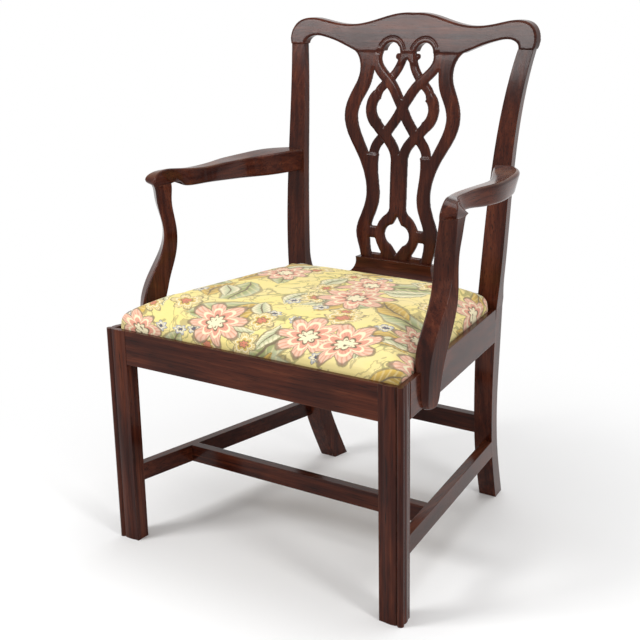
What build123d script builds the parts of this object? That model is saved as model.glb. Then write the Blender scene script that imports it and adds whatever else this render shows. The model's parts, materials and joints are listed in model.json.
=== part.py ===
from build123d import *
import os
from math import cos, radians, sin

# Open armchair with a pierced back and a drop-in seat, in millimetres.
# Z is up, the chair faces -Y, and left and right are those of someone who looks at its front.
# Lengths along Y are first counted from the front of the front legs; the last step centres the chair.

# Seat
SEAT_HEIGHT = 425.0
FRONT_WIDTH = 642.0
REAR_WIDTH = 489.0
SEAT_DEPTH = 480.0
RAIL_HEIGHT = 65.0
RAIL_THICKNESS = 30.0
RAIL_SETBACK = 2.0
LIP = 11.0
LEDGE_DROP = 24.0

# Clearances round glued joints and screws, and round the lift-out seat
JOINT_GAP = 0.1
SEAT_GAP = 0.8

# Front legs and their moulding: fillet, torus, quirk and corner bead
LEG_WIDTH = 46.5
LEG_DEPTH = 38.0
FILLET_DEPTH = 1.6
FRONT_FILLET = 9.0
SIDE_FILLET = 7.0
QUIRK_WIDTH = 2.6
QUIRK_DEPTH = 3.4
BEAD_WIDTH = 10.5
BEAD_ROUND = 1.4
LEG_CHAMFER = 8.0

# Rear posts, each a leg and a stile in one piece
FOOT_KICK = 68.5
FOOT_DEPTH = 38.0
FOOT_WIDTH = 37.5
FOOT_INSET = 15.0
KNEE_HEIGHT = 345.0
POST_WIDTH = 41.0
POST_DEPTH = 38.0
POST_SHOULDER = 15.0
STILE_DEPTH = 25.0
STILE_TOP_DEPTH = 22.0
STILE_TOP_WIDTH = 31.8
STILE_TOP_FLARE = 39.8
STILE_RAKE = 69.0
STILE_HEIGHT = 483.0
STILE_EAR = 29.0
STILE_ROUND = 8.0

# Back: crest rail, splat and shoe
CREST_RISE = 62.7
CREST_DROP = 11.0
CREST_THICKNESS = 22.0
SPLAT_THICKNESS = 9.0
SPLAT_RECESS = 0.6
SPLAT_DRAWN = 410.9
SHOE_TOP = 61.0
SHOE_HALF_WIDTH = 89.0
SHOE_FLARE = 30.0
SHOE_SET = 11.0
SHOE_TOP_DEPTH = 19.0
REAR_RAIL_RISE = 15.0
REAR_RAIL_SETBACK = 2.0
BOW_RADIUS = 2700.0
SPLAT_SET = 26.5
STRAP_WIDTH = 20.5
UNDER_STRAP_WIDTH = 18.0
UNDER_DEPTH = 2.8
LOOP_RADIUS = 20.0
LOOP_X = 37.5

# Stretchers
STRETCHER_LOW = 110.0
STRETCHER_HEIGHT = 34.0
STRETCHER_THICKNESS = 18.0
STRETCHER_INSET = 9.0
CROSS_POSITION = 173.0
REAR_STRETCHER_LOW = 155.0
REAR_STRETCHER_HEIGHT = 37.0
REAR_STRETCHER_INSET = 8.0

# Arms and their supports
ARM_JOINT = 243.0
ARM_FRONT = 206.0
SUPPORT_POSITION = 110.0
SUPPORT_ROUND = 2.5
ARM_ROUND = 6.0

# Tenons, screws, dowels and blocks
TENON_THICKNESS = 9.0
TENON_MARGIN = 7.0
LEG_TENON = 22.0
SIDE_TENON = 13.0
POST_TENON = 18.0
STRETCHER_TENON = 14.0
STRETCHER_TENON_THICKNESS = 8.0
CREST_TENON = 20.0
SPLAT_TENON = 10.0
SPLAT_TENON_THICKNESS = 5.0
SCREW_RADIUS = 2.4
SCREW_HEAD = 4.6
SCREW_SINK = 1.5
ARM_SCREW_LENGTH = 42.0
ARM_SCREW_DEPTH = 9.0
SUPPORT_SCREW_LENGTH = 38.0
BLOCK_SCREW_LENGTH = 46.0
PLUG_RADIUS = 5.5
DOWEL_RADIUS = 5.0
DOWEL_LENGTH = 28.0
BLOCK_HEIGHT = 34.0
BLOCK_LEG = 62.0
BLOCK_CUT = 14.0

# Drop-in seat: frame, webbing, base cloth, stuffing, needlework cover and tacks
COVER_THICKNESS = 1.6
FRAME_THICKNESS = 20.0
FRAME_WIDTH = 52.0
HEM_WIDTH = 30.0
WEB_WIDTH = 50.0
WEB_THICKNESS = 1.4
WEB_COUNT = 4
CLOTH_THICKNESS = 0.8
CROWN = 47.0
SEAT_WALL = 10.0
CROWN_RUN = 150.0
CROWN_FULLNESS = 2.7
CROWN_RINGS = (0, 1.5, 5, 11, 21, 37, 60, 90, 118, CROWN_RUN)
SIDE_DRAW = 2.0
SEAT_CORNER = 22.0
FORM_GAP = 0.3
TACK_RADIUS = 4.0
TACK_LENGTH = 12.0
TACK_COUNT = 7

HALF_FRONT = FRONT_WIDTH / 2
HALF_REAR = REAR_WIDTH / 2
SPLAY = (HALF_FRONT - HALF_REAR) / SEAT_DEPTH
RAIL_LOW = SEAT_HEIGHT - RAIL_HEIGHT
LEDGE = SEAT_HEIGHT - LEDGE_DROP
LEG_INNER = HALF_FRONT - LEG_WIDTH
CREST_HEIGHT = STILE_HEIGHT + CREST_RISE
SPLAT_TOP = STILE_HEIGHT - CREST_DROP
SPLAT_JOINT = SPLAT_TOP - JOINT_GAP
REACH = 2 * SEAT_DEPTH

nodes = {}


def side_line(y):
    """Half the width over the outer faces of the side rails at a distance from the front."""
    return HALF_FRONT - SPLAY * y


def plan(points, low, high):
    """A prism between two heights from an outline seen from above."""
    return extrude(Pos(0, 0, low) * make_face(Polyline(*points, close=True)), amount=high - low)


def from_front(face, near, far):
    """A prism along Y from a face drawn in front view, as (x, z)."""
    return extrude(Pos(0, near, 0) * (Plane.XZ * face), amount=far - near, dir=(0, 1, 0))


def from_side(face, reach):
    """A prism across X from a face drawn in side view, as (y, z)."""
    return extrude(Pos(-reach, 0, 0) * (Plane.YZ * face), amount=2 * reach)


def block(low, high):
    """A box between two corners."""
    size = [b - a for a, b in zip(low, high)]
    middle = [(a + b) / 2 for a, b in zip(low, high)]
    return Pos(*middle) * Box(*size)


def both(face):
    """A front-view face together with its mirror image."""
    return face + mirror(face, about=Plane.YZ)


def outline(*edges):
    """A face inside a closed run of edges."""
    return make_face(list(edges))


# Plan shapes of the seat frame

def side_strip(outer, inner, near, far):
    """A strip along the right side rail, between two insets from its outer face."""
    return [(side_line(near) - outer, near), (side_line(far) - outer, far),
            (side_line(far) - inner, far), (side_line(near) - inner, near)]


def tenon_span():
    """Lowest and highest level of the seat-rail tenons, which stay below the seat's ledge."""
    return RAIL_LOW + TENON_MARGIN, LEDGE - TENON_MARGIN


def front_tenon(gap=0.0):
    low, high = tenon_span()
    near = RAIL_SETBACK + TENON_MARGIN
    return block((LEG_INNER - TENON_MARGIN, near - gap, low - gap),
                 (LEG_INNER + LEG_TENON + gap, near + TENON_THICKNESS + gap, high + gap))


def side_tenon(gap=0.0):
    low, high = tenon_span()
    middle = RAIL_THICKNESS / 2
    strip = side_strip(middle - TENON_THICKNESS / 2 - gap, middle + TENON_THICKNESS / 2 + gap,
                       LEG_DEPTH - SIDE_TENON - gap, SEAT_DEPTH + POST_TENON + gap)
    return plan(strip, low - gap, high + gap)


def rear_tenon(gap=0.0):
    low, high = tenon_span()
    near = SEAT_DEPTH + POST_TENON + TENON_MARGIN / 2
    reach = HALF_REAR - POST_WIDTH + LEG_TENON
    return block((-reach - gap, near - gap, low - gap),
                 (reach + gap, near + TENON_THICKNESS + gap, high + gap))


def seat_outline(inset):
    """The seat's outline, its sides drawn in by a shallow arc, inset from the edge of its pocket."""
    near = LIP + inset
    far = SEAT_DEPTH - SEAT_GAP - inset
    front = side_line(near) - LIP - inset
    rear = side_line(far) - LIP - inset
    middle = (near + far) / 2
    half = (front + rear) / 2
    face = outline(ThreePointArc((-front, near), (0, near + SIDE_DRAW), (front, near)),
                   ThreePointArc((front, near), (half - SIDE_DRAW, middle), (rear, far)),
                   ThreePointArc((rear, far), (0, far - SIDE_DRAW), (-rear, far)),
                   ThreePointArc((-rear, far), (-half + SIDE_DRAW, middle), (-front, near)))
    return fillet(face.vertices(), SEAT_CORNER)


def pocket():
    """Space that the drop-in seat takes out of the rails and legs."""
    near = LIP
    far = SEAT_DEPTH
    front = side_line(near) - LIP
    rear = side_line(far) - LIP
    points = [(-front, near), (front, near), (rear, far), (-rear, far)]
    return plan(points, LEDGE, SEAT_HEIGHT + CROWN)


# Rear posts

def stile_level(share):
    """Height of a point at a share of the stile above the seat rails."""
    return SEAT_HEIGHT + share * STILE_HEIGHT


def post_profile():
    """Side view of a rear post, with a straight stretch where the seat rails meet it."""
    low = KNEE_HEIGHT
    high = SEAT_HEIGHT + POST_SHOULDER
    top = SEAT_HEIGHT + STILE_HEIGHT
    up = (0, 1)
    front_leg = Spline((FOOT_KICK, 0), (24, 0.348 * low), (3, 0.754 * low), (0, low),
                       tangents=[(-46, 110), up])
    front_stile = Spline((0, high), (8.6, stile_level(0.28)), (27.5, stile_level(0.61)), (STILE_RAKE, top))
    notch = (STILE_DEPTH + 3.5, SEAT_HEIGHT + 62)
    rear_stile = Spline((STILE_RAKE + STILE_TOP_DEPTH, top), (26.5 + STILE_DEPTH, stile_level(0.61)),
                        (8.6 + STILE_DEPTH, stile_level(0.28)), notch)
    flare = ThreePointArc(notch, (STILE_DEPTH + 6.5, SEAT_HEIGHT + 33), (POST_DEPTH, high))
    rear_leg = Spline((POST_DEPTH, low), (37.5, 0.754 * low), (58.5, 0.348 * low), (FOOT_KICK + FOOT_DEPTH, 0),
                      tangents=[(0, -1), (46, -110)])
    face = outline(front_leg, Line((0, low), (0, high)), front_stile,
                   Line((STILE_RAKE, top), (STILE_RAKE + STILE_TOP_DEPTH, top)), rear_stile, flare,
                   Line((POST_DEPTH, high), (POST_DEPTH, low)), rear_leg,
                   Line((FOOT_KICK + FOOT_DEPTH, 0), (FOOT_KICK, 0)))
    return Pos(SEAT_DEPTH, 0) * face


def post_front_view():
    """Front view of the right post, drawn at the seat and carried back along the side rail's line."""
    top = SEAT_HEIGHT + STILE_HEIGHT
    inner = HALF_REAR - POST_WIDTH
    foot = HALF_REAR - FOOT_INSET
    head = HALF_REAR + STILE_TOP_FLARE
    outer_stile = Spline((HALF_REAR, SEAT_HEIGHT), (HALF_REAR + 14.3, stile_level(0.528)),
                         (HALF_REAR + 22.5, stile_level(0.776)), (head, top))
    return outline(Line((foot - FOOT_WIDTH, 0), (foot, 0)), Line((foot, 0), (HALF_REAR, SEAT_HEIGHT)),
                   outer_stile, Line((head, top), (inner, top)), Line((inner, top), (inner, SEAT_HEIGHT)),
                   Line((inner, SEAT_HEIGHT), (foot - FOOT_WIDTH, 0)))


def stile_relief():
    """Space beside the right stile's inner face, which runs straight back from its curved front edge."""
    shoulder = SEAT_HEIGHT + POST_SHOULDER
    top = SEAT_HEIGHT + STILE_HEIGHT
    inner = HALF_REAR - POST_WIDTH
    ear = HALF_REAR + STILE_EAR - STILE_TOP_WIDTH
    edge = Spline((inner, shoulder), (HALF_REAR - 35, stile_level(0.28)), (HALF_REAR - 29, stile_level(0.528)),
                  (HALF_REAR - 19.5, stile_level(0.776)), (ear, top))
    face = outline(edge, Line((ear, top), (0, top)), Line((0, top), (0, shoulder)),
                   Line((0, shoulder), (inner, shoulder)))
    return from_front(face, SEAT_DEPTH - POST_DEPTH, REACH)


def plain_post():
    face = Pos(0, SEAT_DEPTH, 0) * (Plane.XZ * post_front_view())
    slant = Vector(-SPLAY, 1, 0).normalized()
    length = (FOOT_KICK + FOOT_DEPTH + POST_DEPTH) / slant.Y
    post = (extrude(face, amount=length, dir=slant) & from_side(post_profile(), REACH)) - stile_relief()
    stile_edges = post.edges().filter_by(lambda e: e.length > STILE_HEIGHT / 2 and e.center().Z > SEAT_HEIGHT)
    rear_inner = stile_edges.sort_by(lambda e: e.center().X - e.center().Y)[0]
    return fillet(rear_inner, STILE_ROUND)


def stile_tenon(gap=0.0):
    """Tenon on the top of the right stile."""
    top = SEAT_HEIGHT + STILE_HEIGHT
    x = HALF_REAR + STILE_EAR - STILE_TOP_WIDTH / 2
    y = SEAT_DEPTH + STILE_RAKE + STILE_TOP_DEPTH / 2
    half = STILE_TOP_WIDTH / 2 - TENON_MARGIN
    depth = TENON_THICKNESS / 2
    return block((x - half - gap, y - depth - gap, top - TENON_MARGIN),
                 (x + half + gap, y + depth + gap, top + CREST_TENON + gap))


# Screws and plugs

def screw(tip, direction, length):
    """A countersunk screw whose head's flat is at the far end from its tip."""
    plane = Plane(origin=tip, z_dir=direction)
    shank = extrude(plane * Circle(SCREW_RADIUS), amount=length)
    head = loft([plane.offset(length - SCREW_HEAD) * Circle(SCREW_RADIUS),
                 plane.offset(length) * Circle(SCREW_HEAD)])
    return shank + head


def screw_hole(tip, direction, length, clear):
    """The hole for a screw, with its countersink and a free bore behind the head."""
    plane = Plane(origin=tip, z_dir=direction)
    shank = extrude(plane.offset(-JOINT_GAP) * Circle(SCREW_RADIUS + JOINT_GAP), amount=length)
    sink = loft([plane.offset(length - SCREW_HEAD - JOINT_GAP) * Circle(SCREW_RADIUS + JOINT_GAP),
                 plane.offset(length) * Circle(SCREW_HEAD + JOINT_GAP)])
    bore = extrude(plane.offset(length) * Circle(SCREW_HEAD + JOINT_GAP), amount=clear + JOINT_GAP)
    return shank + sink + bore


def arm_screw_place():
    """Tip, direction and head depth of the screw that holds the right arm to its post."""
    level = SEAT_HEIGHT + ARM_JOINT + 8
    x = HALF_REAR - 6
    back = SEAT_DEPTH + 20.5 + STILE_DEPTH - ARM_SCREW_DEPTH
    return (x, back - ARM_SCREW_LENGTH, level), (0, 1, 0), back


def support_screw_places():
    """Tips of the two screws that go through the right side rail into the arm support."""
    inward = Vector(-1, -SPLAY, 0).normalized()
    places = []
    for y, level in ((SUPPORT_POSITION, RAIL_LOW + 12), (SUPPORT_POSITION + 18, RAIL_LOW + 30)):
        outer = Vector(side_line(y), y, level)
        places.append((outer - inward * (SUPPORT_SCREW_LENGTH - RAIL_THICKNESS + SCREW_SINK), inward))
    return places


def block_screw_places():
    """Tips and directions of the screws in the two right-hand corner blocks."""
    level = LEDGE - BLOCK_HEIGHT / 2 - 2
    inward = Vector(-1, -SPLAY, 0).normalized()
    front_inner = RAIL_SETBACK + RAIL_THICKNESS
    rear_inner = SEAT_DEPTH + REAR_RAIL_SETBACK
    bite = 16.0
    front_y = front_inner + BLOCK_LEG * 0.55
    rear_y = SEAT_DEPTH - BLOCK_LEG * 0.55
    places = [((LEG_INNER - BLOCK_LEG * 0.45, front_inner - bite, level - 6), (0, 1, 0)),
              ((HALF_REAR - POST_WIDTH - BLOCK_LEG * 0.35, rear_inner + bite, level - 6), (0, -1, 0))]
    for y in (front_y, rear_y):
        face = Vector(side_line(y), y, level + 6) + inward * (RAIL_THICKNESS - bite)
        places.append((face, inward))
    return places


# Seat rails, blocks and legs

def front_leg():
    """Right front leg: a moulded section with the seat's pocket and the mortises cut in."""
    corner = Vector(HALF_FRONT, 0)
    along = Vector(-1, 0)
    back = Vector(-SPLAY, 1)

    def on_front(u, depth):
        return corner + along * u + back * depth

    def on_side(w, depth):
        return corner + back * w + along * depth

    torus_start = BEAD_WIDTH + QUIRK_WIDTH
    front_end = LEG_WIDTH - FRONT_FILLET
    side_end = LEG_DEPTH - SIDE_FILLET
    edges = [
        Line((LEG_INNER, LEG_DEPTH), (LEG_INNER, FILLET_DEPTH)),
        Line((LEG_INNER, FILLET_DEPTH), on_front(front_end, FILLET_DEPTH)),
        ThreePointArc(on_front(front_end, FILLET_DEPTH), on_front((front_end + torus_start) / 2, 0),
                      on_front(torus_start, FILLET_DEPTH)),
        Line(on_front(torus_start, FILLET_DEPTH), on_front(BEAD_WIDTH + QUIRK_WIDTH / 2, QUIRK_DEPTH)),
        Line(on_front(BEAD_WIDTH + QUIRK_WIDTH / 2, QUIRK_DEPTH), on_front(BEAD_WIDTH, FILLET_DEPTH)),
        ThreePointArc(on_front(BEAD_WIDTH, FILLET_DEPTH), on_front(BEAD_ROUND, BEAD_ROUND),
                      on_side(BEAD_WIDTH, FILLET_DEPTH)),
        Line(on_side(BEAD_WIDTH, FILLET_DEPTH), on_side(BEAD_WIDTH + QUIRK_WIDTH / 2, QUIRK_DEPTH)),
        Line(on_side(BEAD_WIDTH + QUIRK_WIDTH / 2, QUIRK_DEPTH), on_side(torus_start, FILLET_DEPTH)),
        ThreePointArc(on_side(torus_start, FILLET_DEPTH), on_side((torus_start + side_end) / 2, 0),
                      on_side(side_end, FILLET_DEPTH)),
        Line(on_side(side_end, FILLET_DEPTH), on_side(LEG_DEPTH, FILLET_DEPTH)),
        Line(on_side(LEG_DEPTH, FILLET_DEPTH), (LEG_INNER, LEG_DEPTH)),
    ]
    leg = extrude(outline(*edges), amount=SEAT_HEIGHT)
    cut = LEG_CHAMFER + 1
    inner_corner = [(LEG_INNER - 1, LEG_DEPTH - cut), (LEG_INNER + cut, LEG_DEPTH + 1),
                    (LEG_INNER - 1, LEG_DEPTH + 1)]
    leg -= plan(inner_corner, -1, RAIL_LOW)
    leg -= pocket()
    leg -= front_tenon(JOINT_GAP)
    leg -= side_tenon(JOINT_GAP)
    return leg - stretcher_tenon(JOINT_GAP)


def front_seat_rail():
    body = block((-LEG_INNER, RAIL_SETBACK, RAIL_LOW),
                 (LEG_INNER, RAIL_SETBACK + RAIL_THICKNESS, SEAT_HEIGHT))
    rail = body + front_tenon() + mirror(front_tenon(), about=Plane.YZ) - pocket()
    return rail - all_block_holes()


def side_seat_rail():
    strip = side_strip(FILLET_DEPTH / 2, RAIL_THICKNESS, LEG_DEPTH, SEAT_DEPTH)
    rail = plan(strip, RAIL_LOW, SEAT_HEIGHT) - pocket() + side_tenon()
    for tip, direction in support_screw_places():
        rail -= screw_hole(tip, direction, SUPPORT_SCREW_LENGTH, RAIL_THICKNESS)
    return rail - all_block_holes()


def rear_seat_rail():
    inner = HALF_REAR - POST_WIDTH / 2
    near = SEAT_DEPTH + REAR_RAIL_SETBACK
    body = block((-inner, near, RAIL_LOW), (inner, SEAT_DEPTH + POST_DEPTH, SEAT_HEIGHT + REAR_RAIL_RISE))
    body -= plain_post()
    body -= mirror(plain_post(), about=Plane.YZ)
    return body + rear_tenon() - all_block_holes()


def all_block_holes():
    holes = [screw_hole(tip, direction, BLOCK_SCREW_LENGTH, BLOCK_LEG)
             for tip, direction in block_screw_places()]
    right = Part() + holes
    return right + mirror(right, about=Plane.YZ)


def corner_block(front):
    """A right-hand corner block, fitted round the leg or post in its corner."""
    high = LEDGE - TACK_RADIUS
    low = high - BLOCK_HEIGHT
    if front:
        wall = RAIL_SETBACK + RAIL_THICKNESS
        end = wall + BLOCK_LEG
        points = [(LEG_INNER - BLOCK_LEG, wall), (LEG_INNER, wall), (LEG_INNER, LEG_DEPTH),
                  (side_line(LEG_DEPTH) - RAIL_THICKNESS, LEG_DEPTH),
                  (side_line(end) - RAIL_THICKNESS, end),
                  (side_line(end) - RAIL_THICKNESS - BLOCK_CUT, end),
                  (LEG_INNER - BLOCK_LEG, wall + BLOCK_CUT)]
    else:
        wall = SEAT_DEPTH + REAR_RAIL_SETBACK
        end = SEAT_DEPTH - BLOCK_LEG
        inner = HALF_REAR - POST_WIDTH
        points = [(inner - BLOCK_LEG, wall), (inner - REAR_RAIL_SETBACK, wall),
                  (inner - REAR_RAIL_SETBACK, SEAT_DEPTH),
                  (side_line(SEAT_DEPTH) - RAIL_THICKNESS, SEAT_DEPTH),
                  (side_line(end) - RAIL_THICKNESS, end),
                  (side_line(end) - RAIL_THICKNESS - BLOCK_CUT, end),
                  (inner - BLOCK_LEG, wall - BLOCK_CUT)]
    return plan(points, low, high) - all_block_holes()


# Stretchers

def stretcher_strip(gap, thickness, near, far, low, high):
    middle = STRETCHER_INSET + STRETCHER_THICKNESS / 2
    return plan(side_strip(middle - thickness / 2 - gap, middle + thickness / 2 + gap, near, far), low, high)


def stretcher_tenon(gap=0.0):
    """Both tenons of the right side stretcher, as one bar."""
    low = STRETCHER_LOW + TENON_MARGIN
    high = STRETCHER_LOW + STRETCHER_HEIGHT - TENON_MARGIN
    far = SEAT_DEPTH + FOOT_KICK / 2 + STRETCHER_TENON / 2
    return stretcher_strip(gap, STRETCHER_TENON_THICKNESS, LEG_DEPTH - STRETCHER_TENON - gap, far + gap,
                           low - gap, high + gap)


def plain_side_stretcher():
    body = stretcher_strip(0, STRETCHER_THICKNESS, LEG_DEPTH, SEAT_DEPTH + FOOT_KICK,
                           STRETCHER_LOW, STRETCHER_LOW + STRETCHER_HEIGHT)
    return body - from_side(post_profile(), REACH)


def in_front_of_posts(body):
    """The piece of a body that lies in front of the rear posts."""
    return body.solids().sort_by(Axis.Y)[0]


def cross_tenon(gap=0.0):
    y = CROSS_POSITION
    low = STRETCHER_LOW + TENON_MARGIN
    high = STRETCHER_LOW + STRETCHER_HEIGHT - TENON_MARGIN
    reach = side_line(y) - STRETCHER_INSET - STRETCHER_THICKNESS / 2
    half = STRETCHER_TENON_THICKNESS / 2
    return block((-reach - gap, y - half - gap, low - gap), (reach + gap, y + half + gap, high + gap))


def side_stretcher():
    return in_front_of_posts(plain_side_stretcher()) + stretcher_tenon() - cross_tenon(JOINT_GAP)


def cross_stretcher():
    y = CROSS_POSITION
    half = STRETCHER_THICKNESS / 2
    reach = side_line(y) - STRETCHER_INSET - half
    body = block((-reach, y - half, STRETCHER_LOW), (reach, y + half, STRETCHER_LOW + STRETCHER_HEIGHT))
    right = in_front_of_posts(plain_side_stretcher())
    return body - right - mirror(right, about=Plane.YZ) + cross_tenon()


def rear_stretcher_span():
    near = SEAT_DEPTH + FOOT_KICK / 6 + REAR_STRETCHER_INSET
    return near, near + STRETCHER_THICKNESS


def rear_stretcher_tenon(gap=0.0):
    near, far = rear_stretcher_span()
    middle = (near + far) / 2
    half = STRETCHER_TENON_THICKNESS / 2
    low = REAR_STRETCHER_LOW + TENON_MARGIN
    high = REAR_STRETCHER_LOW + REAR_STRETCHER_HEIGHT - TENON_MARGIN
    reach = HALF_REAR - POST_WIDTH + STRETCHER_TENON / 2
    return block((-reach - gap, middle - half - gap, low - gap),
                 (reach + gap, middle + half + gap, high + gap))


def rear_stretcher():
    near, far = rear_stretcher_span()
    reach = HALF_REAR - POST_WIDTH / 2
    body = block((-reach, near, REAR_STRETCHER_LOW), (reach, far, REAR_STRETCHER_LOW + REAR_STRETCHER_HEIGHT))
    trimmed = body - plain_post() - mirror(plain_post(), about=Plane.YZ)
    middle = trimmed.solids().sort_by(SortBy.VOLUME)[-1]
    return middle + rear_stretcher_tenon()


def rear_post():
    """Right rear post with its mortises, crest tenon and the hole for the arm's screw."""
    post = plain_post() + stile_tenon()
    post -= side_tenon(JOINT_GAP)
    post -= rear_tenon(JOINT_GAP)
    post -= stretcher_tenon(JOINT_GAP)
    post -= rear_stretcher_tenon(JOINT_GAP)
    tip, direction, back = arm_screw_place()
    return post - screw_hole(tip, direction, ARM_SCREW_LENGTH, 0.0) - arm_plug(JOINT_GAP, 2 * STILE_DEPTH)


def arm_plug(gap, length):
    """Wooden plug over the arm screw's head, flush with the back of the post when trimmed."""
    tip, direction, back = arm_screw_place()
    plane = Plane(origin=(tip[0], back + JOINT_GAP - gap, tip[2]), z_dir=direction)
    return extrude(plane * Circle(PLUG_RADIUS + gap), amount=length)


# Back

def back_curve(offset):
    """Side-view curve of the back's front face, moved back by an offset."""
    points = [(SPLAT_SET, 0.083), (36, 0.346), (42, 0.504), (51.5, 0.652), (67, 0.792), (82.5, 0.907),
              (97, 1.01)]
    return Spline(*[(SEAT_DEPTH + y + offset, SEAT_HEIGHT + share * CREST_HEIGHT) for y, share in points])


def back_slab(set_back, thickness):
    """The bowed sheet that the crest or the splat is cut from, between two depths behind its face."""
    front = back_curve(set_back)
    rear = back_curve(set_back + thickness)
    face = outline(front, Line(front @ 1, rear @ 1), rear, Line(rear @ 0, front @ 0))
    axis = Axis((0, SEAT_DEPTH + SPLAT_SET - BOW_RADIUS, 0), (0, 0, 1))
    swing = 14.0
    return revolve(Plane.YZ * face, axis=axis, revolution_arc=swing).rotate(axis, -swing / 2)


def crest_outline():
    """Front view of the crest rail, whose ends follow the stiles."""
    z = SEAT_HEIGHT
    joint = z + STILE_HEIGHT
    ear = HALF_REAR + STILE_EAR
    inner = ear - STILE_TOP_WIDTH
    top_right = Spline((0, z + CREST_HEIGHT), (52, joint + 58), (98, joint + 45.5), (140, joint + 40),
                       (HALF_REAR - 51.5, joint + 46.3), (HALF_REAR - 4, joint + 52),
                       (HALF_REAR + 20.5, joint + 43), (HALF_REAR + 32, joint + 23), (ear, joint))
    under_right = Spline((inner, joint), (inner - 3, joint + 9), (inner - 15, joint + 16),
                         (inner - 44, joint + 15), (inner - 86, joint + 2.5), (122, z + SPLAT_TOP))
    half = outline(top_right, Line((ear, joint), (inner, joint)), under_right,
                   Line((122, z + SPLAT_TOP), (0, z + SPLAT_TOP)),
                   Line((0, z + SPLAT_TOP), (0, z + CREST_HEIGHT)))
    return both(half - Pos(LOOP_X, z + SPLAT_TOP - 2) * Circle(LOOP_RADIUS))


def splat_tenons(gap=0.0):
    """Tenons on the splat's top and bottom, kept inside its thickness."""
    z = SEAT_HEIGHT
    top = z + SPLAT_TOP
    foot = z + SHOE_TOP
    half = Pos(91, top) * Rectangle(30 + 2 * gap, 2 * (SPLAT_TENON + gap))
    bottom = Pos(0, foot) * Rectangle(150 + 2 * gap, 2 * (SPLAT_TENON + gap))
    side = SPLAT_RECESS + (SPLAT_THICKNESS - SPLAT_TENON_THICKNESS) / 2
    sheet = back_slab(side - gap, SPLAT_TENON_THICKNESS + 2 * gap)
    return from_front(both(half) + bottom, 0, REACH) & sheet


def crest_rail():
    rail = from_front(crest_outline(), 0, REACH) & back_slab(0, CREST_THICKNESS)
    rail -= stile_tenon(JOINT_GAP)
    rail -= mirror(stile_tenon(JOINT_GAP), about=Plane.YZ)
    return rail - splat_tenons(JOINT_GAP)


def splat_point(x, height):
    """A point of the splat, its height drawn above the shoe and stretched with the back."""
    return x, SEAT_HEIGHT + SHOE_TOP + height * (SPLAT_JOINT - SHOE_TOP) / SPLAT_DRAWN


def splat_curve(*points):
    return Spline(*[splat_point(*p) for p in points])


def splat_line(*points):
    return Polyline(*[splat_point(*p) for p in points])


def splat_arc(*points):
    return ThreePointArc(*[splat_point(*p) for p in points])


def strap(width, *points):
    """A strap of constant width along a smooth line."""
    return trace(splat_curve(*points), width)


def splat_band():
    """Outer band of the splat's right half."""
    outer = splat_curve((122, SPLAT_DRAWN), (107.5, 390), (106, 363), (119, 332), (131.4, 291.6),
                        (123.6, 254), (100.5, 214.4), (80, 172), (73.4, 126.4), (83.5, 89.7), (95.3, 51),
                        (86, 14), (82.5, 0))
    inner_low = splat_curve((57, 0), (64.5, 39), (61, 69), (48.3, 103), (44.4, 127), (47, 155), (50.2, 195),
                            (48.3, 210))
    inner_high = splat_curve((73, 212), (92.7, 250), (102.4, 291), (95.6, 313), (82, 339), (75, 371),
                             (74.4, SPLAT_DRAWN))
    return outline(outer, Line(outer @ 1, inner_low @ 0), inner_low, Line(inner_low @ 1, inner_high @ 0),
                   inner_high, Line(inner_high @ 1, outer @ 0))


def lower_diamond():
    """Right half of the pierced diamond at the foot of the splat, with its quatrefoil."""
    post = 18.4
    outer = splat_curve((28.5, 89.7), (40.5, 77), (48.5, 60), (50.2, 44), (44.4, 27), (27, 0))
    frame = outline(splat_line((0, 211), (post, 211), (post, 111)),
                    splat_arc((post, 111), (20.5, 98), (28.5, 89.7)), outer,
                    splat_line((27, 0), (0, 0), (0, 211)))
    hole = outline(splat_line((0, 89.7), (10.6, 71.4)), splat_arc((10.6, 71.4), (29.5, 51), (14.5, 29.8)),
                   splat_line((14.5, 29.8), (0, 11.5), (0, 89.7)))
    bridge = Pos(*splat_point(56, 52.5)) * Rectangle(20, 24)
    return frame - hole + bridge


def splat_faces():
    """Front views of the straps that lie on top and of those that pass under them."""
    loop = strap(STRAP_WIDTH, (68, SPLAT_DRAWN), (66, 385), (43, 360), (24, 341), (12, 323), (0, 304),
                 (-12, 282), (-21.5, 269), (-32, 255))
    scroll = strap(STRAP_WIDTH + 2, (57, 329), (69, 315), (71.5, 298.4), (66, 281), (53, 268))
    descent = strap(STRAP_WIDTH, (57, 271), (37, 250), (17.4, 228.5), (9, 207))
    stem = make_face(splat_line((0, SPLAT_DRAWN), (17, SPLAT_DRAWN), (21, 387), (10, 387), (0, 397),
                                (0, SPLAT_DRAWN)))
    over = both(splat_band() + lower_diamond() + loop + scroll + descent + stem)
    rising = strap(UNDER_STRAP_WIDTH, (11.6, 399), (19, 379), (30, 363), (44, 349), (56, 337), (60, 323))
    nub = strap(UNDER_STRAP_WIDTH + 3, (30, 257), (48, 238), (58, 223), (60, 207))
    curl = Pos(*splat_point(22, 402)) * Circle(6)
    return over, both(rising + nub + curl)


def back_splat():
    over, under = splat_faces()
    front = from_front(over, 0, REACH) & back_slab(SPLAT_RECESS, SPLAT_THICKNESS)
    lower_sheet = back_slab(SPLAT_RECESS + UNDER_DEPTH, SPLAT_THICKNESS - UNDER_DEPTH)
    lower = from_front(under, 0, REACH) & lower_sheet
    below_crest = block((-REACH, 0, 0), (REACH, REACH, SEAT_HEIGHT + SPLAT_JOINT))
    return ((front + lower) & below_crest) + splat_tenons()


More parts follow.
